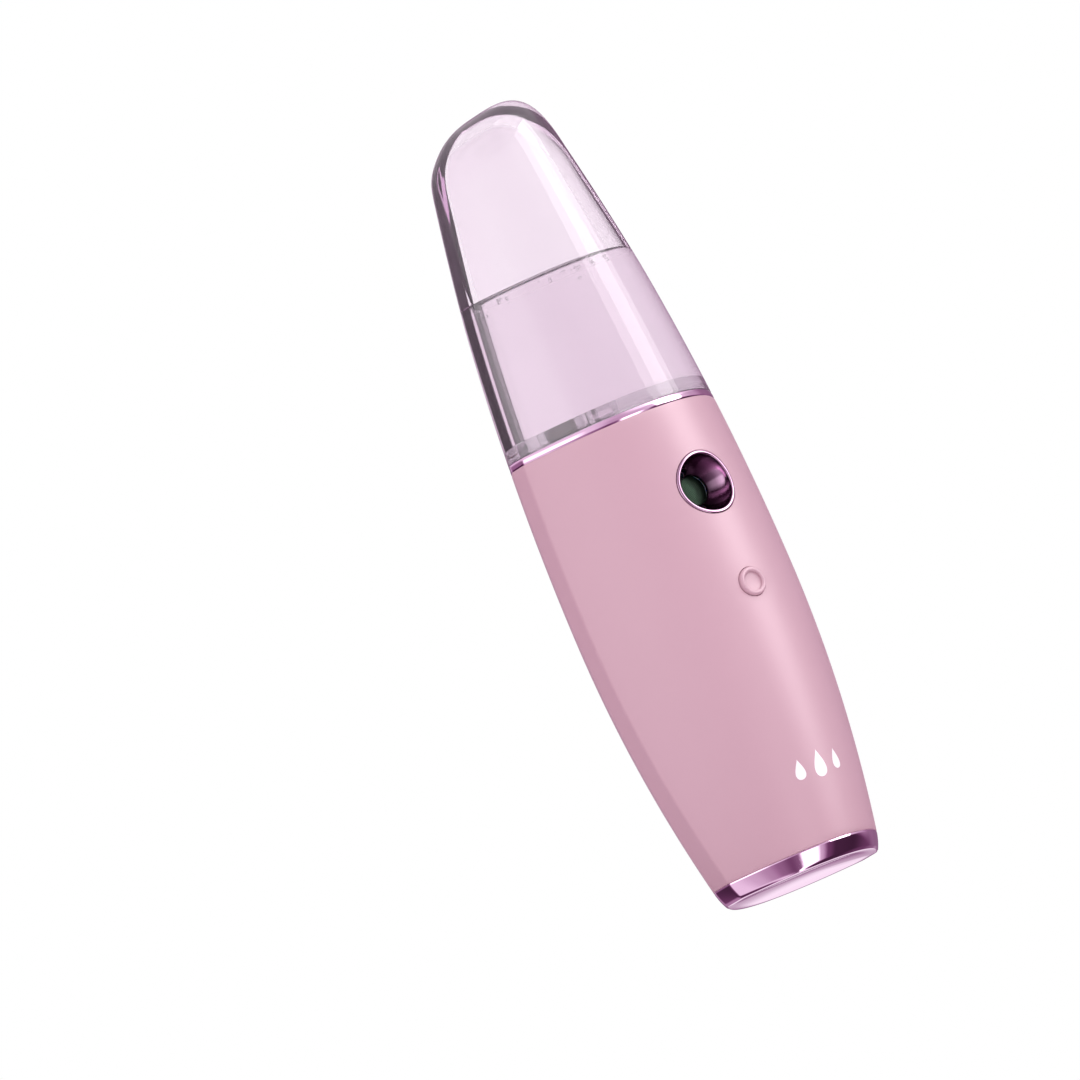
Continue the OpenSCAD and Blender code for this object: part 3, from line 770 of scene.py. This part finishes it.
def make_trim():
    """The bright band under the tank: a slim barrel between rounded edges."""
    height = TRIM_TOP_Z - GRIP_TOP_Z
    outer = []
    for u in np.linspace(0, 1, 15):
        bulge = 1 - abs(2 * u - 1) ** BAND_ROUNDNESS
        outer.append(level_ring(GRIP_TOP_Z + height * u, BAND_SET_IN * (1 - bulge)))
    inner = [level_ring(TRIM_TOP_Z, GRIP_WALL), level_ring(GRIP_TOP_Z, GRIP_WALL)]
    obj = mesh_object("trim_band", *outward(*loft(outer + inner, closed=True)), sharp_angle=50)
    obj.data.materials.append(plum_chrome)
    return place(obj, "grip", "plum_chrome", "collar_trim")


make_base()
make_trim()

# ---------------------------------------------------------------- tank and water

TANK_RIM = 0.3
TANK_LEVELS = 46
SHOULDER_Z = TANK_TOP_Z - SHOULDER_H
DOME_ANGLES = np.radians([0, 3, 7, 12, 18, 24, 30, 36, 42, 48, 54, 60, 65, 70, 74, 78, 81,
                          84, 86, 88, 89.3])


def wall_level(z, wall):
    return slanted(level_ring(z, wall))


def make_tank():
    """The thick clear dome: inside, rounded bottom lip and outside as one wall."""
    bottom = TRIM_TOP_Z
    outside = [wall_level(z, 0.0) for z in np.linspace(bottom + TANK_RIM, SHOULDER_Z, TANK_LEVELS)]
    outside += [dome_ring(a, 0.0) for a in DOME_ANGLES[1:]]
    inside = [wall_level(z, TANK_WALL)
              for z in np.linspace(bottom + TANK_RIM, SHOULDER_Z - TANK_WALL, TANK_LEVELS)]
    inside += [dome_ring(a, TANK_WALL) for a in DOME_ANGLES[1:]]
    lip = [wall_level(bottom, TANK_WALL - 0.1), wall_level(bottom, TANK_RIM),
           wall_level(bottom + 0.09, 0.09)]
    rings = inside[::-1] + lip + outside
    obj = mesh_object("tank_body", *outward(*loft(rings, start_cap=True, end_cap=True)))
    obj.data.materials.append(clear_lilac)
    return place(obj, "tank", "clear_lilac", "tank_shell")


WATER_Z = water_high[2]
WATER_FLOOR_Z = water_low[2]
WETTING = 0.02
MENISCUS_H = 0.75
MENISCUS_REACH = 0.5625
MENISCUS_STEPS = (0.04, 0.1, 0.2, 0.35, 0.55, 0.8, 1.1, 1.5, 2.1, 3.0, 4.5, 7.0)
BUBBLES = 26
PLUG_Y = 9.6
FILL_HOLE_R = 3.6
NECK_R = 4.0
NECK_BORE_R = 2.2
FLOOR_LOW_Z = TRIM_TOP_Z + 0.4


def ball(centre, radius, inwards):
    """A small closed ball; inwards makes it a bubble of air in the liquid."""
    rows, turns = 9, 16
    rings = []
    for k in range(1, rows):
        a = math.pi * k / rows
        ring = circle(turns) * radius * math.sin(a) + centre[:2]
        rings.append(laid_at(ring, centre[2] - radius * math.cos(a)))
    verts, faces = outward(*loft(rings, start_cap=True, end_cap=True))
    verts[-2] = (centre[0], centre[1], centre[2] - radius)
    verts[-1] = (centre[0], centre[1], centre[2] + radius)
    return verts, [tuple(reversed(f)) for f in faces] if inwards else faces


def make_water():
    """Still water that wets the wall: a level top with a raised edge, and a few bubbles."""
    wall = TANK_WALL - WETTING
    rings = [wall_level(WATER_FLOOR_Z, wall + 0.6), wall_level(WATER_FLOOR_Z, wall + 0.1)]
    heights = np.linspace(WATER_FLOOR_Z + 0.1, WATER_Z + MENISCUS_H, 34)
    rings += [wall_level(z, wall) for z in heights]
    for inset in MENISCUS_STEPS:
        z = WATER_Z + MENISCUS_H * math.exp(-inset / MENISCUS_REACH)
        rings.append(level_ring_at(WATER_Z, wall + inset, z))
    body = outward(*loft(rings, start_cap=True, end_cap=True))
    shape = np.random.default_rng(7)
    bubbles = []
    for _ in range(BUBBLES):
        x = shape.uniform(-13, 13)
        radius = shape.uniform(0.12, 0.42) * (0.6 + 0.4 * shape.random())
        side = -1 if shape.random() < 0.75 else 1
        y = side * (float(face_depth(x, WATER_Z, wall)) - radius - shape.uniform(0.1, 0.8))
        z = WATER_Z - radius - shape.uniform(0.05, 0.9) ** 2
        bubbles.append(ball((x, y, z), radius, True))
    obj = mesh_object("still_water", *joined(body, *bubbles))
    obj.data.materials.append(still_water)
    return place(obj, "tank", "water", "water_fill")


def make_tank_floor():
    """The clear plate bonded across the tank's bottom, with its neck and fill hole."""
    bottom, top = FLOOR_LOW_Z, WATER_FLOOR_Z + WETTING
    wall = TANK_WALL - WETTING
    rings = [level_ring(z, wall) for z in (bottom, (bottom + top) / 2, top)]
    plate = outward(*loft(rings, start_cap=True, end_cap=True))
    obj = mesh_object("floor_plate", *plate)

    def post(name, radius, y, low, high):
        rows = [laid_at(circle(64) * radius + [0, y], z) for z in (low, high)]
        return mesh_object(name, *outward(*loft(rows, start_cap=True, end_cap=True)))

    neck = post("neck", NECK_R, 0.0, floor_low[2], bottom + 1)
    union = obj.modifiers.new("neck", "BOOLEAN")
    union.operation, union.solver, union.object = "UNION", "EXACT", neck
    bore_hole = post("neck_bore", NECK_BORE_R, 0.0, floor_low[2] - 1, top + 1)
    fill_hole = post("fill_hole", FILL_HOLE_R, PLUG_Y, bottom - 1, top + 1)
    cut(obj, [bore_hole, fill_hole])
    bpy.data.objects.remove(neck)
    obj.data.materials.append(clear_floor)
    return place(obj, "tank", "clear_lilac", "tank_floor")


make_tank()
make_water()
make_tank_floor()

# ---------------------------------------------------------------- nozzle, mesh and button


def cup_chrome():
    """The nozzle's plating: lighter on the lip, with painted shade darkening the cup towards its throat."""
    made, tree, shader = material("cup_chrome")
    spot = (add(tree, "ShaderNodeTexCoord"), "Object")
    part = add(tree, "ShaderNodeSeparateXYZ", i0=spot)
    up = math_node(tree, "SUBTRACT", (part, 2), NOZZLE_Z * MM)
    across = math_node(tree, "MULTIPLY", (part, 0), (part, 0))
    radius = math_node(tree, "SQRT", math_node(tree, "MULTIPLY_ADD", up, up, across))
    share = math_node(tree, "DIVIDE", radius, MOUTH_R * MM)
    skin = use_group(tree, HANDLED_GLOSS, Gloss=0.12, Smudge=0.08, Hairline=0.03)
    # Painted shade: the base colour darkens with depth into the cup, dimmest at the throat.
    tint = ramp(tree, share, [(0.54, (0.045, 0.025, 0.04)), (0.76, (0.16, 0.09, 0.14)),
                              (0.9, (0.36, 0.21, 0.32)), (0.985, (0.36, 0.21, 0.32)),
                              (1.0, (0.42, 0.27, 0.37))])
    tree.links.new(tint[0].outputs[0], shader.inputs["Base Color"])
    tree.links.new(skin.outputs["Roughness"], shader.inputs["Roughness"])
    bumped(tree, shader, (skin, "Height"), 0.0000004)
    shader.inputs["Metallic"].default_value = 1.0
    return made


def make_nozzle():
    """The bright mist nozzle: a rolled lip that follows the grip, and a deep cup."""
    surface = -float(face_depth(NOZZLE_X, NOZZLE_Z))
    lip = [(NOZZLE_R, surface + 1.2, 1), (NOZZLE_R, surface + 0.02, 1),
           (NOZZLE_R - 0.04, surface - 0.07, 1), (NOZZLE_R - 0.12, surface - 0.12, 1),
           (NOZZLE_R - 0.24, surface - 0.145, 1), (NOZZLE_R - 0.38, surface - 0.125, 1),
           (NOZZLE_R - 0.5, surface - 0.06, 1), (NOZZLE_R - 0.57, surface + 0.05, 1)]
    bowl = []
    for a in np.radians(np.linspace(86, 0, 26)):
        share = FUNNEL_SHARE * math.sin(a) + (1 - FUNNEL_SHARE) * (1 - math.cos(a))
        y = THROAT_Y - THROAT_EDGE - (THROAT_Y - THROAT_EDGE - surface) * share
        bowl.append((THROAT_R + (MOUTH_R - THROAT_R) * math.sin(a), y, share**1.5))
    throat = [(THROAT_R, THROAT_Y - THROAT_EDGE + 0.12, 0), (THROAT_R, THROAT_Y, 0)]
    back = [(FLANGE_R, THROAT_Y, 0), (FLANGE_R, THROAT_Y - FLANGE_T, 0),
            (NOZZLE_R, THROAT_Y - FLANGE_T, 0)]
    solid = polar_solid(NOZZLE_X, NOZZLE_Z, lip + bowl + throat + back, -1, 128)
    obj = mesh_object("nozzle_cup", *solid, sharp_angle=45)
    obj.data.materials.append(cup_chrome())
    return place(obj, "grip", "plum_chrome", "mist_nozzle")


MESH_DOME = 0.28


def make_mesh_disc():
    """The mist disc, a thin plate with a slight dome in the throat."""
    radius = (mesh_high[2] - mesh_low[2]) / 2
    front, back = mesh_low[1], mesh_high[1]
    rows = np.linspace(THROAT_R, 0.15, 14)
    face = [(r, front - MESH_DOME * math.cos(r / THROAT_R * math.pi / 2) ** 1.3, 0) for r in rows]
    rear = [(r, y + (back - front), 0) for r, y, _ in face]
    rim = [(radius - 0.05, back, 0), (radius, back - 0.05, 0), (radius, front + 0.05, 0),
           (radius - 0.05, front, 0)]
    profile = rear[::-1] + rim + face
    obj = mesh_object("mist_plate", *polar_solid(NOZZLE_X, NOZZLE_Z, profile, -1, 96, closed=False))
    obj.data.materials.append(mesh_metal)
    return place(obj, "grip", "mesh_metal", "mesh_disc")


BUTTON_RING_R = 0.44


def make_button():
    """The press button: a rounded ring round a shallow dished hollow, on its stem."""
    crest, back = button_low[1], button_high[1]
    flange_r = (button_high[2] - button_low[2]) / 2
    ring = BUTTON_RING_R
    hollow_r = BUTTON_R - 2 * ring + 0.06
    hollow_y = crest + 0.6
    profile = [(r, hollow_y + 0.16 * (1 - (r / hollow_r) ** 2), 0)
               for r in np.linspace(0.1, hollow_r - 0.12, 10)]
    profile += [(hollow_r, hollow_y - 0.05, 0)]
    profile += [(BUTTON_R - ring + ring * math.cos(a), crest + ring - ring * math.sin(a), 0)
                for a in np.radians(np.linspace(158, 0, 20))]
    profile += [(BUTTON_R, back - 0.8, 0), (flange_r, back - 0.8, 0), (flange_r, back - 0.1, 0),
                (flange_r - 0.1, back, 0), (0.1, back, 0)]
    obj = mesh_object("press_button", *polar_solid(0.0, BUTTON_Z, profile, -1, 80, closed=False),
                      sharp_angle=50)
    obj.data.materials.append(soft_pink)
    return place(obj, "button", "soft_pink", "power_button")


make_nozzle()
make_mesh_disc()
make_button()

# ---------------------------------------------------------------- charging contacts

SOCKET_HOLE_R = 0.9
TURNING_PITCH = 0.11


def contact_metal():
    """Nickel with turning rings on the face, and a pin hole painted near black as painted shade."""
    made, tree, shader = material("contact_metal")
    spot = (add(tree, "ShaderNodeTexCoord"), "Object")
    part = add(tree, "ShaderNodeSeparateXYZ", i0=spot)
    across = math_node(tree, "SUBTRACT", math_node(tree, "ABSOLUTE", (part, 0)), SOCKET_X * MM)
    up = math_node(tree, "SUBTRACT", (part, 2), SOCKET_Z * MM)
    radius = math_node(tree, "SQRT", math_node(tree, "MULTIPLY_ADD", across, across,
                                               math_node(tree, "MULTIPLY", up, up)))
    rings = math_node(tree, "SINE", math_node(tree, "MULTIPLY", radius, 2 * math.pi / (TURNING_PITCH * MM)))
    # Painted shade: inside the pin hole the colour drops to near black.
    dark = add(tree, "ShaderNodeMapRange", Value=radius, From_Min=0.93 * MM, From_Max=0.99 * MM)
    tint = ramp(tree, (dark, 0), [(0, (0.035, 0.045, 0.035)), (1, (0.70, 0.70, 0.67))])
    tree.links.new(tint[0].outputs[0], shader.inputs["Base Color"])
    rough = add(tree, "ShaderNodeMapRange", Value=rings, From_Min=-1.0, From_Max=1.0,
                To_Min=0.16, To_Max=0.30)
    tree.links.new(rough.outputs[0], shader.inputs["Roughness"])
    shader.inputs["Metallic"].default_value = 1.0
    bumped(tree, shader, rings, 0.000003)
    return made


def make_contacts():
    """Two turned contacts, each with a rounded face edge and a pin hole."""
    back, face = socket_low[1], socket_high[1]
    flange_r = SOCKET_R + SOCKET_FLANGE
    hole_r = SOCKET_HOLE_R
    profile = [(0.05, face - 1.2, 0), (hole_r - 0.25, face - 1.2, 0), (hole_r, face - 0.95, 0),
               (hole_r, face - 0.12, 0), (hole_r + 0.05, face - 0.04, 0), (hole_r + 0.14, face, 0),
               (SOCKET_R - 0.2, face, 0), (SOCKET_R - 0.07, face - 0.05, 0),
               (SOCKET_R, face - 0.18, 0), (SOCKET_R, back + 1.2, 0), (flange_r - 0.08, back + 1.2, 0),
               (flange_r, back + 1.1, 0), (flange_r, back, 0), (0.05, back, 0)]
    solids = [polar_solid(x, SOCKET_Z, profile, 1, 64, closed=False) for x in (-SOCKET_X, SOCKET_X)]
    obj = mesh_object("charge_contacts", *joined(*solids), sharp_angle=50)
    obj.data.materials.append(contact_metal())
    return place(obj, "grip", "socket_metal", "charge_sockets")


make_contacts()

# ---------------------------------------------------------------- printed mark

MARK_Z = 15.5
DROP_H = 4.6
DROP_PITCH = 3.9
SIDE_DROP_SIZE = 0.74
INK_T = 0.02
INK_SUNK = 0.01


def drop_outline(steps=48):
    """A plain drop, point up, as (across, up) from its middle, of height 1."""
    points = []
    for a in np.linspace(0, 2 * math.pi, steps, endpoint=False):
        points.append((0.52 * math.sin(a) * math.sin(a / 2) ** 1.5 * 0.72, 0.5 * math.cos(a)))
    return np.array(points)


def make_mark():
    """Three plain drops printed on the front, lying on the curved skin."""
    outline = drop_outline()
    solids = []
    for k in (-1, 0, 1):
        rings = []
        height = DROP_H * (1.0 if k == 0 else SIDE_DROP_SIZE)
        sizes = (0.02, 0.5, 1.0)
        for size, lift in [(s, -INK_SUNK) for s in sizes] + [(s, INK_T) for s in reversed(sizes)]:
            x = DROP_PITCH * k + outline[:, 0] * size * height
            z = MARK_Z + outline[:, 1] * size * height
            y = -face_depth(x, z) - lift
            rings.append(np.column_stack([x, y, z]))
        solids.append(outward(*loft(rings, start_cap=True, end_cap=True)))
    obj = mesh_object("drop_mark", *joined(*solids))
    obj.data.materials.append(print_white)
    return place(obj, "grip", "white_plastic")


make_mark()

# ---------------------------------------------------------------- floor, studio and lights


FLOOR_HALF = 3.0
FLOOR_Z = -0.00003


def make_floor():
    """A pale floor seen from above only, which fades out into the white surround."""
    verts = [(x * FLOOR_HALF, y * FLOOR_HALF, FLOOR_Z)
             for x, y in ((-1, -1), (1, -1), (1, 1), (-1, 1))]
    mesh = bpy.data.meshes.new("floor")
    mesh.from_pydata(verts, [], [(0, 1, 2, 3)])
    obj = bpy.data.objects.new("floor", mesh)
    bpy.context.scene.collection.objects.link(obj)
    made, tree, shader = material("pale_floor")
    spot = (add(tree, "ShaderNodeTexCoord"), "Object")
    grain = add(tree, "ShaderNodeTexNoise", Vector=spot, Scale=240.0, Detail=4.0)
    tint = ramp(tree, (grain, 0), [(0.3, (0.83, 0.82, 0.83)), (0.7, (0.845, 0.835, 0.845))])
    tree.links.new(tint[0].outputs[0], shader.inputs["Base Color"])
    shader.inputs["Roughness"].default_value = 0.7
    away = add(tree, "ShaderNodeVectorMath", {"operation": "LENGTH"}, i0=spot)
    fade = add(tree, "ShaderNodeMapRange", {"interpolation_type": "SMOOTHSTEP"},
               Value=(away, 1), From_Min=0.5, From_Max=1.6)
    path = add(tree, "ShaderNodeLightPath")
    under = add(tree, "ShaderNodeNewGeometry")
    hidden = math_node(tree, "MAXIMUM", (under, "Backfacing"), (path, "Is Glossy Ray"))
    hidden = math_node(tree, "MAXIMUM", hidden, (fade, 0))
    see_through = add(tree, "ShaderNodeBsdfTransparent")
    mix = add(tree, "ShaderNodeMixShader", i0=hidden, i1=(shader, 0), i2=(see_through, 0))
    tree.links.new(mix.outputs[0], tree.nodes["Material Output"].inputs["Surface"])
    mesh.materials.append(made)


def bearing(degrees):
    """A compass bearing round the object as a ramp position; 0 is straight in front."""
    return degrees / 360 + 0.5


# Brightness of the studio round the object at three heights, as (bearing, brightness).
LOW_RING = ((-180, 0.45), (-142, 0.06), (-108, 0.12), (-84, 1.0), (-74, 1.0), (-66, 0.72),
            (-58, 0.50), (-50, 0.30), (-40, 0.17), (-32, 0.25), (-26, 2.6), (-10, 2.4),
            (-1, 0.7), (12, 0.15), (28, 0.06), (66, 0.05), (106, 0.14), (124, 0.25), (137, 1.1),
            (147, 1.1), (160, 0.4), (180, 0.45))
MIDDLE_RING = ((-180, 0.7), (-142, 0.3), (-110, 0.25), (-92, 0.6), (-76, 2.2), (-62, 2.2),
               (-52, 1.0), (-36, 0.6), (-12, 0.7), (8, 0.9), (62, 0.9), (86, 0.6), (108, 0.3),
               (128, 0.25), (152, 0.25), (180, 0.6))
HIGH_RING = ((-180, 0.9), (-130, 0.8), (-100, 1.0), (-60, 1.0), (-30, 0.7), (0, 1.5),
             (30, 2.3), (60, 2.0), (90, 0.9), (130, 0.8), (180, 0.9))

# The room's dim parts are plum; its bright parts are white. Values are a third of the brightness.
ROOM_TINT = ((0.0, (0.0, 0.0, 0.0)), (0.05, (0.058, 0.022, 0.05)), (0.13, (0.15, 0.09, 0.138)),
             (0.3, (0.31, 0.27, 0.305)), (0.5, (0.5, 0.49, 0.5)), (1.0, (1.0, 1.0, 1.0)))


def make_studio():
    world = bpy.data.worlds.new("studio")
    bpy.context.scene.world = world
    world.use_nodes = True
    tree = world.node_tree
    tree.nodes.clear()
    way = (add(tree, "ShaderNodeTexCoord"), "Generated")
    part = add(tree, "ShaderNodeSeparateXYZ", i0=way)
    front = math_node(tree, "MULTIPLY", (part, 1), -1.0)
    turn = math_node(tree, "ARCTAN2", (part, 0), front)
    turn = math_node(tree, "MULTIPLY_ADD", turn, 1 / (2 * math.pi), 0.5)
    rings = []
    for stops in (LOW_RING, MIDDLE_RING, HIGH_RING):
        rings.append(ramp(tree, turn, [(bearing(a), v / 3) for a, v in stops], "EASE"))
    rise = add(tree, "ShaderNodeMapRange", {"interpolation_type": "SMOOTHSTEP"},
               Value=(part, 2), From_Min=-0.22, From_Max=-0.02)
    lift = add(tree, "ShaderNodeMapRange", {"interpolation_type": "SMOOTHSTEP"},
               Value=(part, 2), From_Min=0.28, From_Max=0.55)
    lower = add(tree, "ShaderNodeMix", {"data_type": "RGBA"}, i0=(rise, 0), i6=rings[0], i7=rings[1])
    upper = add(tree, "ShaderNodeMix", {"data_type": "RGBA"}, i0=(lift, 0), i6=(lower, 2),
                i7=rings[2])
    tinted = ramp(tree, (upper, 2), ROOM_TINT)
    room = add(tree, "ShaderNodeBackground", Color=tinted, Strength=3.0)
    white = add(tree, "ShaderNodeBackground", Color=(1, 1, 1, 1), Strength=1.0)
    path = add(tree, "ShaderNodeLightPath")
    seen = math_node(tree, "MAXIMUM", (path, "Is Camera Ray"), (path, "Is Transmission Ray"))
    mix = add(tree, "ShaderNodeMixShader", i0=seen, i1=(room, 0), i2=(white, 0))
    out = tree.nodes.new("ShaderNodeOutputWorld")
    tree.links.new(mix.outputs[0], out.inputs["Surface"])


def softbox(name, azimuth, elevation, distance, width, height, power, glossy=True,
            diffuse=True):
    a, e = math.radians(azimuth), math.radians(elevation)
    back = Vector((math.sin(a) * math.cos(e), -math.cos(a) * math.cos(e), math.sin(e)))
    data = bpy.data.lights.new(name, "AREA")
    data.shape = "RECTANGLE"
    data.size, data.size_y = width, height
    data.energy = power
    obj = bpy.data.objects.new(name, data)
    obj.rotation_euler = back.to_track_quat("Z", "Y").to_euler()
    obj.location = Vector((0, 0, 0.07)) + back * distance
    obj.visible_camera = False
    obj.visible_glossy = glossy
    obj.visible_diffuse = diffuse
    obj.visible_transmission = False
    bpy.context.scene.collection.objects.link(obj)


make_floor()
make_studio()
softbox("key_softbox", -22, 48, 0.9, 0.5, 0.7, 1.6, glossy=False)
softbox("left_fill", -95, 25, 1.0, 0.6, 0.6, 0.2, glossy=False)
softbox("back_fill", 160, 35, 1.0, 0.7, 0.7, 1.1, glossy=False)
softbox("front_strip", 36, 17, 1.0, 0.9, 1.3, 9.0, diffuse=False)
softbox("front_strip_middle", 38, 17, 1.02, 0.42, 1.3, 4.5, diffuse=False)
bpy.context.scene.view_settings.view_transform = "Standard"
